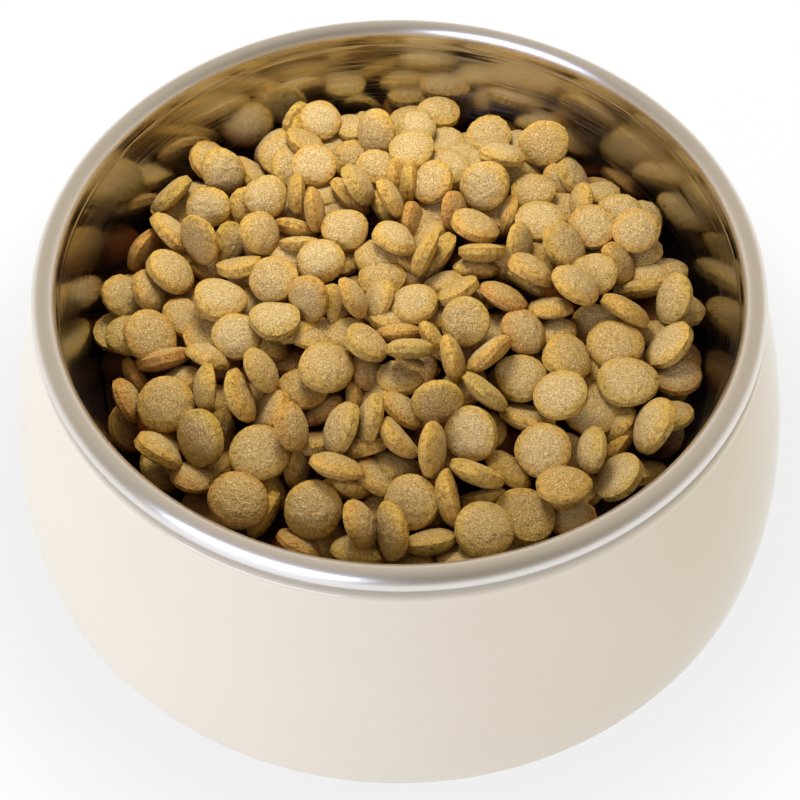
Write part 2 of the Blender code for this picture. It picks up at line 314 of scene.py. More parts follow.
def rubberMaterial():
    material, tree, shader = newMaterial("mouldedRubber")
    place = addNode(tree, "ShaderNodeTexCoord").outputs["Object"]
    grain = addNode(tree, "ShaderNodeTexNoise", {"Scale": 1 / rubber["grain"], "Detail": 3.0},
                    {"Vector": place})
    bump = addNode(tree, "ShaderNodeBump",
                   {"Strength": rubber["grainStrength"], "Distance": rubber["grainDepth"]},
                   {"Height": grain.outputs["Fac"]})
    tree.links.new(bump.outputs["Normal"], shader.inputs["Normal"])
    tone = addNode(tree, "ShaderNodeMapRange", rubber["roughness"], {"Value": grain.outputs["Fac"]})
    tree.links.new(tone.outputs["Result"], shader.inputs["Roughness"])
    shader.inputs["Base Color"].default_value = linearColour(rubber["colour"])
    return material


shell = {
    "lipProud": 0.0008,
    "lipDepth": 0.0050,
    "lipChamfer": 0.0021,
    "shoulder": 0.0011,
    "wall": 0.0032,
    "bellPower": 1.55,
    "footWidth": 0.0095,
    "footHeight": 0.0050,
    "footChamfer": 0.0055,
    "footRound": 0.0010,
    "footInnerRound": 0.0004,
    "footLift": 0.0010,
    "ringInset": 0.0056,
    "ringWidth": 0.0040,
    "ringGrip": 0.0022,
    "ringRound": 0.0006,
    "around": 288,
    "bellSteps": 56,
    "insidePoints": 30,
    "slopeStep": 0.0005,       # for the bell's slope, which the inside is set off from
    "footSteps": 6,
    "footInnerSteps": 3,
    "shoulderSteps": 8,
    "ringSteps": 5,
    "ringAround": 192,
}
seatHeight = bowl["height"] - 2 * bowl["curlRadius"] - bowl["clearance"]
ringMiddle = bowl["baseRadius"] - shell["ringInset"]


def bellRadius(height):
    # lip + (base - lip) (1 - (1 - share)^power), where share runs from the lip down to the foot
    lip = bowl["rimRadius"] + shell["lipProud"]
    top = seatHeight - shell["shoulder"]
    share = np.clip((top - height) / (top - shell["footLift"]), 0, 1)
    return lip + (bowl["baseRadius"] - lip) * (1 - (1 - share) ** shell["bellPower"])


def makeShell():
    # the outline goes down the bell, under the foot round the ring's groove, up the inside, which
    # is bellRadius - wall sqrt(1 + slope^2), and over the seat
    lip = bowl["rimRadius"] + shell["lipProud"]
    lipHeight = seatHeight - shell["shoulder"]
    lift = shell["footLift"]
    outerBottom = lift + shell["footRound"]
    footInner = bowl["baseRadius"] - shell["footWidth"]
    grooveInner = ringMiddle - shell["ringWidth"] / 2 - bowl["clearance"]
    grooveOuter = ringMiddle + shell["ringWidth"] / 2 + bowl["clearance"]
    bandInner = bowl["rimRadius"] - 2 * bowl["curlRadius"] + bowl["sheet"] + bowl["clearance"]
    bandBottom = seatHeight - shell["lipDepth"]
    heights = np.linspace(lipHeight, outerBottom, shell["bellSteps"] + 1)
    outline = list(zip(bellRadius(heights), heights))
    outline += arcPoints((bellRadius(outerBottom) - shell["footRound"], outerBottom),
                         shell["footRound"], 0, -90, shell["footSteps"])[1:]
    outline += [(grooveOuter, lift), (grooveOuter, lift + shell["ringGrip"])]
    outline += [(grooveInner, lift + shell["ringGrip"]), (grooveInner, lift)]
    corner = shell["footInnerRound"]
    outline += arcPoints((footInner + corner, lift + corner), corner, -90, -180,
                         shell["footInnerSteps"])
    outline += [(footInner, lift + shell["footHeight"])]
    inside = np.linspace(lift + shell["footHeight"] + shell["footChamfer"], bandBottom,
                         shell["insidePoints"])
    slope = (bellRadius(inside - shell["slopeStep"]) - bellRadius(inside)) / shell["slopeStep"]
    outline += list(zip(bellRadius(inside) - shell["wall"] * np.hypot(1, slope), inside))
    outline += [(bandInner, bandBottom + shell["lipChamfer"]), (bandInner, seatHeight)]
    outline += arcPoints((lip - shell["shoulder"], lipHeight), shell["shoulder"], 90, 0,
                         shell["shoulderSteps"])[:-1]
    piece = turnedPiece("bellShell", outline, melamineMaterial(), shell["around"])
    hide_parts("outer_shell")
    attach(piece, "root")


def makeRing():
    # a strip with two rounded lower corners, which stands proud of the groove and is stood on
    inner, outer = ringMiddle - shell["ringWidth"] / 2, ringMiddle + shell["ringWidth"] / 2
    corner, steps = shell["ringRound"], shell["ringSteps"]
    top = shell["footLift"] + shell["ringGrip"] - bowl["clearance"]
    outline = arcPoints((outer - corner, corner), corner, 0, -90, steps)
    outline += arcPoints((inner + corner, corner), corner, -90, -180, steps)
    outline += [(inner, top), (outer, top)]
    piece = turnedPiece("footRing", outline, rubberMaterial(), shell["ringAround"])
    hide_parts("base_ring")
    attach(piece, "root")


liner = {
    "around": 320,
    "curlEnd": -75,
    "beadDrop": 0.0028,        # the crease below the rim, measured down from the curl's middle
    "beadWidth": 0.00055,
    "beadDepth": 0.00012,
    "beadSpread": 0.6,         # of the width, in the crease's bell curve
    "beadPoints": 13,
    "wallSteps": 26,
    "floorRings": (0.0, 0.02, 0.04),
    "cornerSteps": 12,
    "curlSteps": 40,
    "underCurlSteps": 30,
    "smoothAngle": 60,
}


def linerCorner():
    # the floor's height, where the corner arc meets the wall, and the arc's middle
    corner, draft = bowl["cornerRadius"], bowl["draft"]
    floorTop = bowl["height"] - bowl["linerDepth"]
    tangent = floorTop + corner - corner * math.sin(draft)
    middle = (float(wallRadius(tangent)) - corner * math.cos(draft), floorTop + corner)
    return floorTop, tangent, middle


def addSpinningMap(piece):
    # a map that follows the spinning: u goes once round the bowl, v goes with height and radius
    mesh = piece.data
    points = np.empty(3 * len(mesh.vertices))
    mesh.vertices.foreach_get("co", points)
    points = points.reshape(-1, 3)
    corners = np.empty(len(mesh.loops), int)
    mesh.loops.foreach_get("vertex_index", corners)
    starts = np.empty(len(mesh.polygons), int)
    totals = np.empty(len(mesh.polygons), int)
    mesh.polygons.foreach_get("loop_start", starts)
    mesh.polygons.foreach_get("loop_total", totals)
    turn = np.arctan2(points[corners, 1], points[corners, 0]) / (2 * np.pi) + 0.5
    first = np.repeat(turn[starts], totals)
    turn = turn + (first - turn > 0.5) - (turn - first > 0.5)    # keeps the seam's faces whole
    rise = np.hypot(points[corners, 0], points[corners, 1]) + points[corners, 2]
    layer = mesh.uv_layers.new(name="spinning")
    layer.data.foreach_set("uv", np.stack([turn, rise], -1).astype(np.float32).ravel())


def makeLiner():
    # inner side: floor, corner arc, sloping wall, crease and rolled rim; then back along the
    # outside, one sheet off. The crease is depth exp(-((height - middle) / (spread width))^2)
    curl, sheet = bowl["curlRadius"], bowl["sheet"]
    draftDegrees, corner = math.degrees(bowl["draft"]), bowl["cornerRadius"]
    curlMiddle = (bowl["rimRadius"] - curl, bowl["height"] - curl)
    neckRadius = bowl["rimRadius"] - 2 * curl
    neckBottom = curlMiddle[1] - bowl["neck"]
    floorTop, tangent, cornerMiddle = linerCorner()
    rise = np.linspace(tangent, curlMiddle[1], liner["wallSteps"] + 1)[1:-1]
    crease, width = curlMiddle[1] - liner["beadDrop"], liner["beadWidth"]
    fine = np.linspace(crease - 2 * width, crease + 2 * width, liner["beadPoints"])
    rise = np.sort(np.concatenate([rise, fine]))
    bead = liner["beadDepth"] * np.exp(-((rise - crease) / (liner["beadSpread"] * width)) ** 2)
    outline = [(radius, floorTop) for radius in liner["floorRings"]]
    outline += arcPoints(cornerMiddle, corner, -90, -draftDegrees, liner["cornerSteps"])
    outline += list(zip(wallRadius(rise) - bead, rise))
    outline += arcPoints(curlMiddle, curl, 180, liner["curlEnd"], liner["curlSteps"])
    outline += arcPoints(curlMiddle, curl - sheet, liner["curlEnd"], 180, liner["underCurlSteps"])
    outline += [(neckRadius + sheet, neckBottom)]
    outline += arcPoints(cornerMiddle, corner + sheet, -draftDegrees, -90, liner["cornerSteps"])
    outline += [(liner["floorRings"][2], floorTop - sheet), (0.0, floorTop - sheet)]
    piece = turnedPiece("steelBowl", outline, steelMaterial(), liner["around"],
                        smoothAngle=liner["smoothAngle"])
    addSpinningMap(piece)
    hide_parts("steel_liner")
    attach(piece, "root")


makeShell()
makeRing()
makeLiner()
print("bowl made")


# the heap's smooth top at half a kibble's height, in metres
heapTop = {"middle": 0.0550, "edge": 0.0485, "reach": 0.076}


def topHeight(across, back):
    # a dome: middle - (middle - edge) (across^2 + back^2) / reach^2
    sag = (heapTop["middle"] - heapTop["edge"]) * (across ** 2 + back ** 2) / heapTop["reach"] ** 2
    return heapTop["middle"] - sag


# extruded and oven-dried kibble: dusty pressed grain, pale greyish tan on the flat faces, toasted
# golden brown where the thin edge baked hotter, with pale and dark grain specks and no real gloss
kibbleColours = {
    "face": "#B69A62",
    "faceDull": "#A3803C",
    "edge": "#C59A40",
    "toasted": "#B27E36",
    "olive": "#B29240",
    "scorch": "#5E3A12",
    "pale": "#DAC698",
    "pit": "#402308",
    "shade": "#9A6238",        # painted shade between the deeper kibbles
    "deepShade": "#43240F",
}
kibbleLooks = {
    "shadeTop": -4.0 * millimetre,   # depths below the heap's smooth top where the painted shade starts and where it is darkest
    "shadeBottom": -13.0 * millimetre,
    "mottle": 1.1 * millimetre,
    "grain": 0.36 * millimetre,      # drawn coarser than real grain, so that it shows
    "blotch": 3.2 * millimetre,
    "lump": 2.0 * millimetre,
    "bumpStrength": 0.9,
    "grainDepth": 0.17 * millimetre,
    "lumpDepth": 0.85 * millimetre,
    "roughness": 0.62,
    "specular": 0.35,
    "underShadeBrowning": 0.25,              # painted shade: how much browner and duller a side that is turned down is drawn
    "underShadeDulling": 0.50,
    "edgePlaces": (0.0, 0.45, 1.0),  # warmths of the olive, golden and toasted edge
    # places on that depth of no painted shade, the brown painted shade and the darkest painted
    # shade
    "gloomPlaces": (0.0, 0.50, 0.95),
    "blotchShare": 0.55,             # how far blotches carry the baked edge in over the face
    "bakedRange": {"From Min": 0.86, "From Max": 1.27, "To Max": 0.95},
    "scorchRange": {"From Min": 0.52, "From Max": 0.34, "To Max": 0.66},
    "paleRange": {"From Min": 0.53, "From Max": 0.67, "To Max": 0.66},
    "paleReach": 1.40,               # less the baking, the share of pale meal
    "pitRange": {"From Min": 0.46, "From Max": 0.32, "To Max": 0.72},
}


def kibbleMaterial():
    material, tree, shader = newMaterial("bakedKibble")
    colour = {name: linearColour(code) for name, code in kibbleColours.items()}
    place = addNode(tree, "ShaderNodeTexCoord").outputs["Object"]
    look = addNode(tree, "ShaderNodeAttribute", {"attribute_name": "kibbleLook"})
    parts = addNode(tree, "ShaderNodeSeparateXYZ", links={"Vector": look.outputs["Vector"]})
    rim, tone, warmth = parts.outputs[0], parts.outputs[1], parts.outputs[2]
    noise = {}
    for name, detail in (("grain", {"Detail": 3.0, "Roughness": 0.65}), ("blotch", {"Detail": 2.0}),
                         ("lump", {"Detail": 2.0}),
                         ("mottle", {"Detail": 4.0, "Roughness": 0.65})):
        noise[name] = addNode(tree, "ShaderNodeTexNoise",
                              detail | {"Scale": 1 / kibbleLooks[name]},
                              {"Vector": place}).outputs["Fac"]
    face = addNode(tree, "ShaderNodeMix", {"data_type": "RGBA", 6: colour["faceDull"],
                                           7: colour["face"]}, {0: tone})
    # the edge's colour goes from olive through golden to toasted with the kibble's own warmth
    edge = colourRamp(tree, warmth, list(zip(kibbleLooks["edgePlaces"],
                                             (colour["olive"], colour["edge"], colour["toasted"]))))
    reach = addNode(tree, "ShaderNodeMath",
                    {"operation": "MULTIPLY_ADD", 1: kibbleLooks["blotchShare"]},
                    {0: noise["blotch"], 2: rim})
    baked = addNode(tree, "ShaderNodeMapRange", kibbleLooks["bakedRange"],
                    {"Value": reach.outputs[0]}).outputs["Result"]
    crust = addNode(tree, "ShaderNodeMix", {"data_type": "RGBA"},
                    {0: baked, 6: face.outputs[2], 7: edge})
    # brown mottling where the crust cracked as it baked, strongest on the edge
    scorchShare = addNode(tree, "ShaderNodeMapRange", kibbleLooks["scorchRange"],
                          {"Value": noise["mottle"]})
    scorchHere = addNode(tree, "ShaderNodeMath", {"operation": "MULTIPLY"},
                         {0: scorchShare.outputs["Result"], 1: baked})
    # pale meal shows on the faces and less on the baked edge
    plain = addNode(tree, "ShaderNodeMath", {"operation": "SUBTRACT", 0: kibbleLooks["paleReach"]},
                    {1: baked})
    paleShare = addNode(tree, "ShaderNodeMapRange", kibbleLooks["paleRange"],
                        {"Value": noise["grain"]})
    paleHere = addNode(tree, "ShaderNodeMath", {"operation": "MULTIPLY", "use_clamp": True},
                       {0: paleShare.outputs["Result"], 1: plain.outputs[0]})
    pitShare = addNode(tree, "ShaderNodeMapRange", kibbleLooks["pitRange"],
                       {"Value": noise["grain"]})
    speckled = crust.outputs[2]
    for name, share in (("scorch", scorchHere.outputs[0]), ("pale", paleHere.outputs[0]),
                        ("pit", pitShare.outputs["Result"])):
        speckled = addNode(tree, "ShaderNodeMix", {"data_type": "RGBA", 7: colour[name]},
                           {0: share, 6: speckled}).outputs[2]
    # height with the dome's sag taken out: z + (middle - edge) (x^2 + y^2) / reach^2
    spot = addNode(tree, "ShaderNodeSeparateXYZ", links={"Vector": place})
    flat = addNode(tree, "ShaderNodeCombineXYZ", links={0: spot.outputs[0], 1: spot.outputs[1]})
    square = addNode(tree, "ShaderNodeVectorMath", {"operation": "DOT_PRODUCT"},
                     {0: flat.outputs[0], 1: flat.outputs[0]})
    sag = (heapTop["middle"] - heapTop["edge"]) / heapTop["reach"] ** 2
    level = addNode(tree, "ShaderNodeMath", {"operation": "MULTIPLY_ADD", 1: sag},
                    {0: square.outputs["Value"], 2: spot.outputs[2]})
    # painted shade: the deeper a point lies below the heap's top, the darker and browner its colour
    # is drawn
    depth = addNode(tree, "ShaderNodeMapRange",
                    {"From Min": heapTop["middle"] + kibbleLooks["shadeTop"],
                     "From Max": heapTop["middle"] + kibbleLooks["shadeBottom"]},
                    {"Value": level.outputs[0]})
    gloom = colourRamp(tree, depth.outputs["Result"],
                       list(zip(kibbleLooks["gloomPlaces"],
                                (1.0, colour["shade"], colour["deepShade"]))))
    shaded = addNode(tree, "ShaderNodeMix", {"data_type": "RGBA", "blend_type": "MULTIPLY", 0: 1.0},
                     {6: speckled, 7: gloom})
    tree.links.new(shaded.outputs[2], shader.inputs["Base Color"])
    fine = addNode(tree, "ShaderNodeBump", {"Strength": kibbleLooks["bumpStrength"],
                                            "Distance": kibbleLooks["grainDepth"]},
                   {"Height": noise["grain"]})
    broad = addNode(tree, "ShaderNodeBump", {"Strength": kibbleLooks["bumpStrength"],
                                             "Distance": kibbleLooks["lumpDepth"]},
                    {"Height": noise["lump"], "Normal": fine.outputs["Normal"]})
    tree.links.new(broad.outputs["Normal"], shader.inputs["Normal"])
    shader.inputs["Roughness"].default_value = kibbleLooks["roughness"]
    shader.inputs["Specular IOR Level"].default_value = kibbleLooks["specular"]
    return material


kibble = {
    "faceWidth": 12.5 * millimetre,
    "thickness": 5.3 * millimetre,
    "slimming": 0.94,          # of the thickness, so that pressed kibbles part at their edges
    "plumpness": 3.0,          # power across the face: 2 is a ball's cap, more has a flatter middle
    "capPower": 1.15,          # 1 meets the side in a crisp corner, 2 in a round one
    "sideShare": (0.16, 0.40),  # height of the narrow upright side, as a share of the thickness
    "edgePower": 1.5,          # the rounder form that is used to test whether two kibbles touch
    "overlap": 0.84,           # how deep two kibbles may press into each other, 1 is not at all
    "wallGap": 0.25 * millimetre,
    "wallTries": 4,
    "probeGrid": (12, 3),      # sides and rings of the points that are tested
    "probeSide": 0.2,
    "lobes": ((2, 0.028), (3, 0.018), (5, 0.010)),    # waves round the outline, and how strong
    "outline": (0.93, 1.06),
    "lopsided": 0.20,          # one side domed more than the other
    "lopsidedMost": 0.32,
    "warp": 0.10,
    "cup": 0.10,
    "anyTurn": 6.3,            # radians, all the way round
    "nearlyUp": 0.95,          # a face more level than this takes its direction from X, not Z
    "toneSpread": 0.22,
    "warmthBeta": (2.2, 3.4),
    # a side less upright than this takes the painted shade
    "underShadeFrom": 0.55,
    "smoothAngle": 36,
}


def kibbleGrid(around, rings):
    # a lens in rings from the middle to the edge and back: height = (1 - across^plumpness) to the
    # power 1 / capPower; columns are x, y, that height, and 1 above or -1 below
    across = np.sin(np.pi / 2 * np.arange(1, rings + 1) / rings)
    height = np.maximum(1 - across ** kibble["plumpness"], 0) ** (1 / kibble["capPower"])
    across, height = np.append(across, across[::-1]), np.append(height, height[::-1])
    side = np.repeat([1.0, -1.0], rings)
    u = 2 * np.pi * np.arange(around) / around
    ring = np.stack([np.outer(across, np.cos(u)), np.outer(across, np.sin(u)),
                     np.outer(height, np.ones(around)), np.outer(side, np.ones(around))], -1)
    points = np.concatenate([[[0, 0, 1.0, 1.0]], ring.reshape(-1, 4), [[0, 0, 1.0, -1.0]]])
    k = np.arange(around)
    after = (k + 1) % around
    row = 1 + around * np.arange(2 * rings - 1)[:, None]
    quads = np.stack([row + k, row + around + k, row + around + after, row + after], -1)
    last = 1 + around * (2 * rings - 1)
    bottom = np.full_like(k, len(points) - 1)
    caps = np.concatenate([np.stack([np.zeros_like(k), 1 + k, 1 + after], -1),
                           np.stack([last + k, bottom, last + after], -1)])
    return points, quads.reshape(-1, 4), caps


def axesFacing(normal, spin=0.0):
    # three unit columns: two across the face, turned by spin, and the normal
    normal = np.asarray(normal, float) / np.linalg.norm(normal)
    start = [0.0, 0.0, 1.0] if abs(normal[2]) < kibble["nearlyUp"] else [1.0, 0.0, 0.0]
    side = np.cross(start, normal)
    side /= np.linalg.norm(side)
    other = np.cross(normal, side)
    turned = side * math.cos(spin) + other * math.sin(spin)
    return np.stack([turned, np.cross(normal, turned), normal], -1)


class Heap:
    # every kibble laid so far: middle, axes, radius and half thickness

    def __init__(self):
        self.middles = np.zeros((0, 3))
        self.axes = np.zeros((0, 3, 3))
        self.radii = np.zeros(0)
        self.halves = np.zeros(0)
        grid, side = kibbleGrid(*kibble["probeGrid"])[0], kibble["probeSide"]
        self.probe = np.stack([grid[:, 0], grid[:, 1],
                               grid[:, 3] * (side + (1 - side) * grid[:, 2])], -1)

    def surfacePoints(self, middle, axes, radius, half):
        return middle + (self.probe * [radius, radius, half]) @ axes.T

    def depthShare(self, points, middle, axes, radius, half):
        # (across / radius)^plumpness + (up / half)^edgePower: below 1 is inside the kibble
        local = (points - middle) @ axes
        across = np.hypot(local[..., 0], local[..., 1]) / radius
        return across ** kibble["plumpness"] + np.abs(local[..., 2] / half) ** kibble["edgePower"]

    def clashes(self, middle, axes, radius, half, limit):
        away = np.linalg.norm(self.middles - middle, axis=1)
        near = np.nonzero(away < radius + self.radii)[0]
        own = self.surfacePoints(middle, axes, radius, half)
        for k in near[np.argsort(away[near])]:
            theirs = (self.middles[k], self.axes[k], self.radii[k], self.halves[k])
            if self.depthShare(own, *theirs).min() < limit:
                return True
            shown = self.surfacePoints(*theirs)
            if self.depthShare(shown, middle, axes, radius, half).min() < limit:
                return True
        return False

    def insideWall(self, middle, axes, radius, half):
        # moves a kibble towards the axis until all of it is clear of the liner's wall
        middle = middle.copy()
        for _ in range(kibble["wallTries"]):
            own = self.surfacePoints(middle, axes, radius, half)
            over = (np.hypot(own[:, 0], own[:, 1]) - wallRadius(own[:, 2])).max()
            over += kibble["wallGap"]
            if over <= 0:
                break
            middle[:2] *= 1 - over / np.hypot(*middle[:2])
        return middle

    def lay(self, middle, axes, radius, half):
        self.middles = np.vstack([self.middles, middle])
        self.axes = np.concatenate([self.axes, axes[None]])
        self.radii = np.append(self.radii, radius)
        self.halves = np.append(self.halves, half)

    def settle(self, start, step, count, axes, radius, half, limit):
        # goes from start by equal steps to the first free place; gives the last one if none is free
        for k in range(count):
            middle = self.insideWall(start + step * k, axes, radius, half)
            if not self.clashes(middle, axes, radius, half, limit):
                return middle, True
        return middle, False


def halfThickness(radius):
    size = 2 * radius / kibble["faceWidth"]
    return kibble["thickness"] / 2 * (1 + size) / 2


# each piece's sides and rings to a kibble, its mean tone and its seed; the mean tone falls for the
# kibbles laid lower, a little painted shade
heapPieces = {
    "topKibbles": {"around": 24, "rings": 5, "tone": 0.60, "seed": 3},
    "looseKibbles": {"around": 14, "rings": 4, "tone": 0.50, "seed": 5},
    "underKibbles": {"around": 14, "rings": 3, "tone": 0.45, "seed": 7},
}


def kibbleMesh(name, heap, which, warmth, material):
    # height = side (share + (1 - share) cap), with an uneven outline of 1 + the sum of strength
    # cos(lobes turn + phase), a slight warp and cup, then turned and placed
    make = heapPieces[name]
    points, quads, caps = kibbleGrid(make["around"], make["rings"])
    random = np.random.default_rng(make["seed"])
    count, anyTurn = len(which), kibble["anyTurn"]
    turn = np.arctan2(points[:, 1], points[:, 0])
    across = np.hypot(points[:, 0], points[:, 1])
    side = points[:, 3]
    waves = np.ones((count, len(points)))
    for lobes, strength in kibble["lobes"]:
        waves += (random.normal(0, strength, (count, 1))
                  * np.cos(lobes * turn + random.uniform(0, anyTurn, (count, 1))))
    waves = np.clip(waves, *kibble["outline"])
    share = random.uniform(*kibble["sideShare"], (count, 1))
    most = kibble["lopsidedMost"]
    lopsided = np.clip(random.normal(0, kibble["lopsided"], (count, 1)), -most, most)
    height = side * (share + (1 - share) * points[:, 2]) * (1 + lopsided * side)
    height += (random.normal(0, kibble["warp"], (count, 1)) * across ** 2
               * np.cos(2 * turn + random.uniform(0, anyTurn, (count, 1))))
    height += random.normal(0, kibble["cup"], (count, 1)) * (across ** 2 - 0.5)
    shape = np.stack([points[:, 0] * waves, points[:, 1] * waves, height], -1)
    radii, halves = heap.radii[which], heap.halves[which]
    shape = shape * np.stack([radii, radii, kibble["slimming"] * halves], -1)[:, None, :]
    world = np.einsum("kij,knj->kni", heap.axes[which], shape) + heap.middles[which][:, None]
    offset = len(points) * np.arange(count)[:, None, None]
    piece = meshPiece(name, world, (quads + offset).reshape(-1, 4), material,
                      (caps + offset).reshape(-1, 3), smoothAngle=kibble["smoothAngle"])
    tone = np.clip(random.normal(make["tone"], kibble["toneSpread"], count), 0, 1)
    warmth = np.where(np.isnan(warmth), random.beta(*kibble["warmthBeta"], count), warmth)
    # painted shade: a side that is turned down is drawn browner and duller, as if in shadow
    under = np.clip(kibble["underShadeFrom"] - side * heap.axes[which][:, 2, 2][:, None], 0, 1)
    values = np.stack([across + kibbleLooks["underShadeBrowning"] * under,
                       np.clip(tone[:, None] - kibbleLooks["underShadeDulling"] * under, 0, 1),
                       np.repeat(warmth[:, None], len(points), 1)], -1)
    attribute = piece.data.attributes.new("kibbleLook", "FLOAT_VECTOR", "POINT")
    attribute.data.foreach_set("vector", values.astype(np.float32).ravel())
    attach(piece, "root")
    return piece


def nodePlace(node):
    # a CAD kibble's middle, its thin axis and its radius, from the spread of its points
    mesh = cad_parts[node].data
    points = np.empty(3 * len(mesh.vertices))
    mesh.vertices.foreach_get("co", points)
    points = np.unique(points.reshape(-1, 3).round(7), axis=0)
    middle = (points.max(0) + points.min(0)) / 2
    away = points - middle
    thinAxis = np.linalg.eigh(away.T @ away)[1][:, 0]
    return middle, thinAxis, float(np.linalg.norm(away, axis=1).max())


def viewRay(pixelX, pixelY):
    # direction from the camera through a pixel of the 800 wide photograph
    focal = camera["focalLength"] / camera["sensor"] * camera["imageWidth"]
    half = camera["imageWidth"] / 2
    ray = cameraAxes @ np.array([(pixelX - half) / focal, -(pixelY - half) / focal, -1.0])
    return ray / np.linalg.norm(ray)


def seenAs(pixelX, pixelY, longPixels, ratio, lean):
    # where the view ray meets the heap's top, and the lens that looks that long, that narrow and
    # leans that way: the share of the face seen is sqrt((ratio^2 - thin^2) / (1 - thin^2))
    eye = np.array(camera["place"])
    ray = viewRay(pixelX, pixelY)
    reach = (heapFill["firstGuess"] - eye[2]) / ray[2]
    for _ in range(heapFill["guesses"]):
        spot = eye + ray * reach
        reach = (topHeight(spot[0], spot[1]) - eye[2]) / ray[2]
    focal = camera["focalLength"] / camera["sensor"] * camera["imageWidth"]
    width = longPixels * reach * float(ray @ -cameraAxes[:, 2]) / focal
    thinSquare = (kibble["thickness"] / kibble["faceWidth"]) ** 2
    seenSquare = (ratio ** 2 - thinSquare) / (1 - thinSquare)
    faceShare = math.sqrt(min(max(seenSquare, 0.0), 1.0))
    right = cameraAxes[:, 0] - ray * (ray @ cameraAxes[:, 0])
    right /= np.linalg.norm(right)
    up = np.cross(right, ray)
    sideways = math.sqrt(1 - faceShare ** 2)
    lean = math.radians(lean)
    normal = sideways * (math.cos(lean) * right + math.sin(lean) * up) - faceShare * ray
    return eye + ray * reach, ray, normal, width


# kibbles read from the photograph, nearest the top first: the middle's pixel, the long
# axis in pixels, narrow to long, the direction in degrees that the face leans to on the picture,
# and the crust where it stands out
openKibbles = (
    (172, 195, 48, 0.42, 132), (171, 234, 50, 0.50, 45), (146, 252, 50, 0.55, 330),
    (314, 210, 46, 0.45, 7), (297, 227, 38, 0.40, 75), (301, 243, 42, 0.40, 90),
    (357, 186, 46, 0.50, 35), (350, 198, 50, 0.45, 45), (389, 199, 44, 0.45, 30),
    (409, 184, 46, 0.38, 172, "pale"), (502, 156, 47, 0.50, 78, "pale"), (507, 217, 47, 0.45, 163),
    (581, 203, 36, 0.55, 170, "pale"), (163, 359, 54, 0.42, 104, "toasted"),
    (208, 358, 44, 0.50, 72), (239, 266, 48, 0.45, 100), (208, 388, 46, 0.45, 178),
    (240, 396, 55, 0.50, 20), (336, 305, 44, 0.55, 15), (353, 298, 46, 0.50, 28),
    (378, 301, 46, 0.60, 155), (299, 331, 54, 0.50, 112), (261, 370, 50, 0.60, 30),
    (370, 373, 48, 0.70, 30, "toasted"), (399, 333, 50, 0.40, 93),
    (410, 350, 48, 0.35, 90, "olive"), (418, 364, 42, 0.45, 70), (426, 255, 46, 0.36, 155),
    (441, 257, 56, 0.42, 150), (482, 250, 46, 0.38, 90), (476, 268, 48, 0.47, 87),
    (531, 271, 50, 0.50, 58, "golden"), (549, 258, 48, 0.60, 45), (457, 291, 42, 0.50, 118),
    (503, 296, 50, 0.50, 65, "toasted"), (490, 355, 54, 0.40, 128), (432, 342, 46, 0.35, 33),
    (453, 359, 50, 0.45, 15), (549, 309, 50, 0.45, 93), (617, 263, 44, 0.60, 30, "golden"),
    (638, 290, 52, 0.42, 93), (625, 310, 54, 0.42, 60), (158, 452, 52, 0.50, 52),
    (270, 412, 42, 0.60, 155, "golden"), (292, 427, 42, 0.65, 15), (370, 417, 45, 0.50, 165),
    (299, 467, 48, 0.55, 0), (337, 467, 54, 0.50, 75), (347, 488, 50, 0.40, 80),
    (365, 448, 52, 0.45, 105), (378, 478, 48, 0.65, 55), (265, 514, 58, 0.40, 152),
    (358, 525, 50, 0.58, 20, "golden"), (357, 553, 58, 0.50, 75), (400, 438, 50, 0.45, 42),
    (402, 410, 50, 0.55, 50, "golden"), (438, 402, 53, 0.82, 270),
    (486, 392, 52, 0.42, 50, "olive"), (432, 450, 58, 0.50, 0), (477, 473, 56, 0.38, 68),
    (508, 470, 56, 0.50, 50), (451, 498, 62, 0.38, 10), (482, 497, 48, 0.35, 102),
    (430, 541, 55, 0.48, 100, "olive"), (527, 418, 58, 0.50, 75), (620, 447, 54, 0.38, 145),
    (591, 451, 50, 0.60, 170, "olive"), (571, 517, 44, 0.75, 90, "toasted"),
)
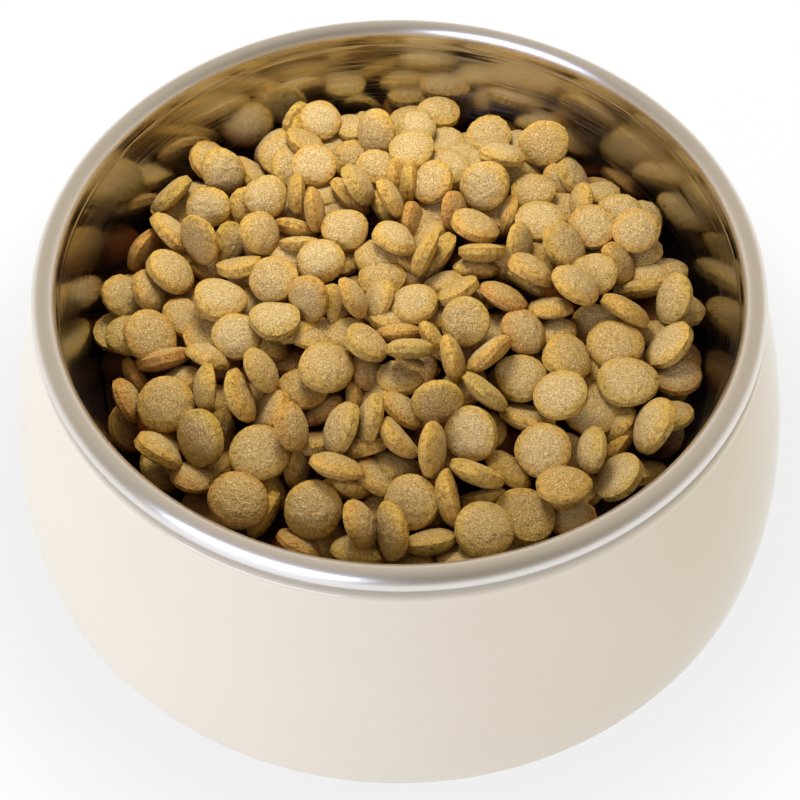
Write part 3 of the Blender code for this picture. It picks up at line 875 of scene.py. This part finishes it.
tuckedKibbles = (
    (246, 208, 42, 0.80, 0), (169, 213, 36, 0.60, 60), (296, 120, 36, 0.60, 330),
    (300, 134, 34, 0.50, 0), (305, 142, 34, 0.60, 60, "pale"), (280, 156, 44, 0.90, 90, "pale"),
    (336, 150, 50, 0.76, 80), (292, 168, 46, 0.85, 38), (250, 238, 44, 0.50, 180),
    (298, 194, 40, 0.40, 0), (298, 210, 30, 0.70, 90), (354, 127, 36, 0.65, 90),
    (377, 168, 38, 0.85, 90), (383, 210, 42, 0.45, 28), (398, 180, 48, 0.50, 0),
    (417, 128, 40, 0.80, 90), (445, 142, 30, 0.70, 90), (448, 167, 46, 0.80, 90),
    (459, 156, 34, 0.60, 90), (466, 145, 34, 0.60, 90), (489, 136, 46, 0.90, 90),
    (475, 162, 36, 0.60, 90), (520, 142, 36, 0.70, 90), (533, 193, 44, 0.85, 90),
    (454, 212, 42, 0.60, 0, "toasted"), (432, 213, 36, 0.75, 90),
    (411, 222, 38, 0.55, 0, "toasted"), (560, 181, 37, 0.80, 30), (573, 176, 40, 0.60, 35),
    (600, 196, 34, 0.60, 90), (619, 214, 46, 0.90, 90), (150, 291, 42, 0.70, 25, "golden"),
    (184, 318, 44, 0.82, 60), (130, 336, 50, 0.80, 90), (206, 337, 40, 0.80, 90),
    (207, 265, 38, 0.70, 60, "pale"), (231, 243, 42, 0.70, 0), (137, 378, 40, 0.40, 30, "toasted"),
    (128, 400, 48, 0.50, 25, "toasted"), (291, 259, 42, 0.80, 90, "pale"), (338, 258, 46, 0.85, 90),
    (378, 258, 50, 0.80, 90), (382, 279, 50, 0.80, 90), (315, 333, 50, 0.70, 90),
    (349, 338, 46, 0.80, 90, "pale"), (292, 360, 40, 0.70, 90, "golden"), (400, 379, 44, 0.75, 90),
    (391, 318, 34, 0.60, 90), (303, 388, 54, 0.80, 90), (518, 245, 40, 0.60, 0),
    (525, 284, 48, 0.35, 57), (443, 286, 34, 0.50, 110), (478, 297, 34, 0.60, 90),
    (553, 334, 36, 0.70, 90), (641, 252, 44, 0.80, 90), (650, 276, 38, 0.60, 90),
    (666, 272, 38, 0.60, 90, "olive"), (596, 328, 54, 0.92, 90), (655, 335, 40, 0.60, 90, "olive"),
    (678, 376, 42, 0.80, 90, "toasted"), (222, 437, 54, 0.65, 0, "pale"),
    (194, 478, 50, 0.65, 80, "toasted"), (322, 411, 46, 0.50, 125, "toasted"),
    (352, 402, 36, 0.40, 0), (300, 545, 54, 0.50, 65, "toasted"), (395, 466, 48, 0.60, 75, "olive"),
    (512, 383, 52, 0.80, 90), (482, 433, 52, 0.85, 90), (427, 507, 54, 0.85, 90),
    (463, 560, 50, 0.60, 90, "toasted"), (592, 410, 60, 0.90, 90),
    (617, 425, 46, 0.50, 140, "pale"), (560, 455, 56, 0.85, 90), (555, 502, 36, 0.40, 90),
    (673, 390, 44, 0.60, 150, "olive"),
)
# pieces glimpsed in the gaps: the middle's pixel only
deepKibbles = (
    (198, 197), (183, 217), (268, 143), (256, 175), (332, 209), (328, 195), (425, 230), (424, 238),
    (490, 214), (473, 208), (518, 177), (561, 208), (184, 303), (178, 385), (125, 297), (217, 313),
    (185, 258), (272, 345), (504, 266), (411, 271), (410, 260), (436, 319), (492, 335), (538, 366),
    (420, 375), (593, 256), (598, 373), (650, 314), (592, 384), (168, 438), (217, 469), (226, 405),
    (252, 403), (312, 442), (328, 544), (368, 502), (271, 488), (385, 428), (372, 395), (447, 392),
    (444, 430), (455, 454), (510, 487), (512, 445), (575, 455), (585, 495),
)
crusts = {"pale": 0.30, "olive": 0.0, "golden": 0.62, "toasted": 0.95}
heapFill = {
    "seed": 11,
    "firstGuess": 0.0520,               # height where a view ray first looks for the heap's top
    "guesses": 12,
    "stepBack": 0.30 * millimetre,      # search step along the view ray
    "stepsBack": 40,
    "openRise": 2.2 * millimetre,       # start above the heap's smooth top
    "tuckedRise": 0.5 * millimetre,
    "deepRise": -2.0 * millimetre,
    "sunk": 6.0 * millimetre,           # where no free place is found
    "readWidths": (11.2 * millimetre, 13.6 * millimetre),
    "deepPixels": 50,                   # width, narrow to long and lean of the glimpsed pieces
    "deepRatios": (0.5, 0.85),
    "deepLeans": (30, 150),
    "spacing": 7.4 * millimetre,
    "rowShare": 0.866,                  # rows of a triangular pattern
    "rows": 13,
    "columns": 12,
    "jitter": 1.8 * millimetre,
    "tilts": (0, 50),                   # degrees
    "sizes": (0.92, 1.08),
    "fillRise": 1.5 * millimetre,
    "fillStep": 0.5 * millimetre,
    "fillSteps": 8,
    "fillOverlap": 0.62,
    "wallLayer": -2.2 * millimetre,     # one more layer beside the wall, to leave no trench there
    "wallLayerFrom": 60.0 * millimetre,
    "layers": (-3.8 * millimetre, -6.8 * millimetre, -10.0 * millimetre),
    "reach": 76.5 * millimetre,
    "gapReach": 67.5 * millimetre,      # in front on the left, where the heap stops short
    "gapFloor": -9.0 * millimetre,
    "gapDegrees": (186, 262),
    "coreDrop": 13.0 * millimetre,
    "coreRings": 14,
    "coreCornerSteps": 8,
    "coreAround": 96,
}


def layRead(heap, random):
    # kibbles read from the photograph: each goes back along its view ray to the first free place
    deep = [(x, y, heapFill["deepPixels"], random.uniform(*heapFill["deepRatios"]),
             random.uniform(*heapFill["deepLeans"])) for x, y in deepKibbles]
    warmth = []
    for rows, rise in ((openKibbles, heapFill["openRise"]), (tuckedKibbles, heapFill["tuckedRise"]),
                       (deep, heapFill["deepRise"])):
        for x, y, longPixels, ratio, lean, *crust in rows:
            spot, ray, normal, width = seenAs(x, y, longPixels, ratio, lean)
            radius = float(np.clip(width, *heapFill["readWidths"])) / 2
            axes, half = axesFacing(normal), halfThickness(radius)
            start = spot + ray * (rise / ray[2])
            middle, free = heap.settle(start, ray * heapFill["stepBack"], heapFill["stepsBack"],
                                       axes, radius, half, kibble["overlap"])
            if not free:
                middle = heap.insideWall(start + ray * heapFill["sunk"], axes, radius, half)
            heap.lay(middle, axes, radius, half)
            warmth.append(crusts[crust[0]] if crust else math.nan)
    return np.array(warmth)


def layFill(heap, random):
    # layers of leaning kibbles in a shaken triangular pattern: each sinks to the first free place
    spacing, jitter, anyTurn = heapFill["spacing"], heapFill["jitter"], kibble["anyTurn"]
    rows, columns = heapFill["rows"], heapFill["columns"]
    gapFrom, gapTo = heapFill["gapDegrees"]
    for drop in (heapFill["wallLayer"],) + heapFill["layers"]:
        for row in range(-rows, rows + 1):
            for column in range(-columns, columns + 1):
                across = spacing * (column + 0.5 * (row % 2)) + random.uniform(-1, 1) * jitter
                back = spacing * heapFill["rowShare"] * row + random.uniform(-1, 1) * jitter
                tilt = math.radians(random.uniform(*heapFill["tilts"]))
                lean, spin = random.uniform(0, anyTurn), random.uniform(0, anyTurn)
                way, away = math.degrees(math.atan2(back, across)) % 360, math.hypot(across, back)
                inGap = gapFrom < way < gapTo and drop > heapFill["gapFloor"]
                if away > heapFill["gapReach" if inGap else "reach"]:
                    continue
                if drop == heapFill["wallLayer"] and away < heapFill["wallLayerFrom"]:
                    continue
                axes = axesFacing([math.sin(tilt) * math.cos(lean), math.sin(tilt) * math.sin(lean),
                                   math.cos(tilt)], spin)
                radius = kibble["faceWidth"] / 2 * random.uniform(*heapFill["sizes"])
                half = halfThickness(radius)
                height = topHeight(across, back) + drop + heapFill["fillRise"]
                middle, free = heap.settle(np.array([across, back, height]),
                                           np.array([0, 0, -heapFill["fillStep"]]),
                                           heapFill["fillSteps"], axes, radius, half,
                                           heapFill["fillOverlap"])
                if free:
                    heap.lay(middle, axes, radius, half)


def makeHeap():
    heap, material = Heap(), kibbleMaterial()
    topNames = sorted(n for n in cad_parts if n.startswith("kibble_") and n != "kibble_bed")
    for name in topNames:
        middle, normal, radius = nodePlace(name)
        heap.lay(middle, axesFacing(normal), radius, halfThickness(radius))
    topCount = len(heap.radii)
    print("CAD kibbles placed:", topCount)
    random = np.random.default_rng(heapFill["seed"])
    readWarmth = layRead(heap, random)
    readCount = len(heap.radii)
    print("kibbles read from the photograph placed:", readCount - topCount)
    layFill(heap, random)
    count = len(heap.radii)
    print("kibbles filled in below:", count - readCount)

    top = kibbleMesh("topKibbles", heap, np.arange(topCount), np.full(topCount, math.nan), material)
    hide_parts(*topNames)
    kibbleMesh("looseKibbles", heap, np.arange(topCount, readCount), readWarmth, material)
    kibbleMesh("underKibbles", heap, np.arange(readCount, count),
               np.full(count - readCount, math.nan), material)
    return material


def makeCore(material):
    # the imported lower heap: fills the liner up to a low dome below the last layer of kibbles,
    # deep enough that its kibble colour takes the darkest painted shade
    draft, gap = bowl["draft"], bowl["clearance"]
    floorTop, _, cornerMiddle = linerCorner()
    edgeHeight = heapTop["edge"] - heapFill["coreDrop"]
    edge = float(wallRadius(edgeHeight)) - gap / math.cos(draft)
    outline = [(0.0, floorTop + gap)]
    outline += arcPoints(cornerMiddle, bowl["cornerRadius"] - gap, -90, -math.degrees(draft),
                         heapFill["coreCornerSteps"])
    outline += [(r, topHeight(r, 0) - topHeight(edge, 0) + edgeHeight)
                for r in np.linspace(edge, 0, heapFill["coreRings"])]
    core = turnedPiece("packedCore", outline, material, heapFill["coreAround"])
    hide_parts("kibble_bed")
    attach(core, "root")


makeCore(makeHeap())
print("heap made")


# a paper floor lit mostly by its own glow, with a painted shadow where the glow is dimmer round the
# bowl, and a soft sky that is brighter behind than in front
stage = {
    "floor": "#303030",
    "floorGlow": 0.955,
    # the glow in the painted shadow beside the bowl
    "paintedShadowGlow": 0.835,
    "shadowReach": 0.150,
    "floorRoughness": 0.6,
    "floorSpecular": 0.2,
    "floorSize": 24.0,
    "floorCells": 8,
    "skySide": "#FBF0E2",
    "skyMiddle": "#CEC3B4",
    "skyTop": "#C0B5A4",
    "skyPlaces": (0.0, 0.12, 0.35, 0.62),    # heights of side, side, middle and top
    # from back to front
    "skyRange": {"From Min": 0.5, "From Max": -0.6, "To Min": 1.15, "To Max": 0.58},
}
# the top lamp is low over the heap's back, so that the shell's back isn't burnt out; the window is
# the one that shows as a reflection, and the side lamp is a weak bounce from the right
lamps = {
    "top": {"place": (-0.03, 0.09, 0.21), "colour": (1.0, 1.0, 1.0), "shape": "ELLIPSE",
            "width": 0.09, "height": 0.09, "power": 0.41, "mirrored": False},
    "window": {"place": (-0.62, -0.88, 0.72), "colour": (0.92, 1.01, 1.43), "shape": "RECTANGLE",
               "width": 0.90, "height": 0.50, "power": 7.9, "mirrored": True},
    "fill": {"place": (-1.10, 0.05, 0.45), "colour": (0.92, 1.0, 1.20), "shape": "ELLIPSE",
             "width": 0.9, "height": 0.9, "power": 2.4, "mirrored": False},
    "side": {"place": (0.90, 0.10, 0.50), "colour": (1.0, 0.96, 0.90), "shape": "ELLIPSE",
             "width": 0.8, "height": 0.8, "power": 1.1, "mirrored": False},
}


def makeFloor():
    half, cells = stage["floorSize"] / 2, stage["floorCells"]
    x, y = np.meshgrid(*[np.linspace(-half, half, cells + 1)] * 2, indexing="ij")
    points = np.stack([x, y, np.zeros_like(x)], -1)
    i, j = np.meshgrid(np.arange(cells), np.arange(cells), indexing="ij")
    first = i * (cells + 1) + j
    quads = np.stack([first, first + cells + 1, first + cells + 2, first + 1], -1).reshape(-1, 4)
    material, tree, shader = newMaterial("plainFloor")
    shader.inputs["Base Color"].default_value = linearColour(stage["floor"])
    shader.inputs["Roughness"].default_value = stage["floorRoughness"]
    shader.inputs["Specular IOR Level"].default_value = stage["floorSpecular"]
    shader.inputs["Emission Color"].default_value = (1.0, 1.0, 1.0, 1.0)
    # painted shadow: the floor's glow is dimmer under and beside the bowl
    place = addNode(tree, "ShaderNodeTexCoord").outputs["Object"]
    reach = addNode(tree, "ShaderNodeVectorMath", {"operation": "LENGTH"}, {0: place})
    glow = addNode(tree, "ShaderNodeMapRange",
                   {"interpolation_type": "SMOOTHSTEP", "From Min": bowl["baseRadius"],
                    "From Max": stage["shadowReach"], "To Min": stage["paintedShadowGlow"],
                    "To Max": stage["floorGlow"]}, {"Value": reach.outputs["Value"]})
    tree.links.new(glow.outputs["Result"], shader.inputs["Emission Strength"])
    floor = meshPiece("floor", points, quads, material)


def makeSky():
    world = bpy.data.worlds.new("softSky")
    bpy.context.scene.world = world
    world.use_nodes = True
    tree = world.node_tree
    direction = addNode(tree, "ShaderNodeTexCoord").outputs["Generated"]
    parts = addNode(tree, "ShaderNodeSeparateXYZ", links={"Vector": direction})
    colours = [linearColour(stage[name]) for name in ("skySide", "skySide", "skyMiddle", "skyTop")]
    sky = colourRamp(tree, parts.outputs[2], list(zip(stage["skyPlaces"], colours)))
    forward = addNode(tree, "ShaderNodeMapRange", stage["skyRange"], {"Value": parts.outputs[1]})
    dimmed = addNode(tree, "ShaderNodeMix", {"data_type": "RGBA", "blend_type": "MULTIPLY", 0: 1.0},
                     {6: sky, 7: forward.outputs["Result"]})
    tree.links.new(dimmed.outputs[2], tree.nodes["Background"].inputs["Color"])


def makeLamps():
    for name, looks in lamps.items():
        data = bpy.data.lights.new(name + "Light", "AREA")
        data.shape = looks["shape"]
        data.size, data.size_y = looks["width"], looks["height"]
        data.energy = looks["power"]
        data.color = looks["colour"]
        lamp = bpy.data.objects.new(name + "Light", data)
        place = Vector(looks["place"])
        turn = (-place).to_track_quat("-Z", "Y").to_matrix().to_4x4()
        lamp.matrix_world = Matrix.Translation(place) @ turn
        lamp.visible_glossy = looks["mirrored"]
        lamp.visible_camera = False
        bpy.context.collection.objects.link(lamp)


makeFloor()
makeSky()
makeLamps()
bpy.context.scene.view_settings.view_transform = "Standard"
bpy.context.scene.view_settings.look = "None"
print("stage made")
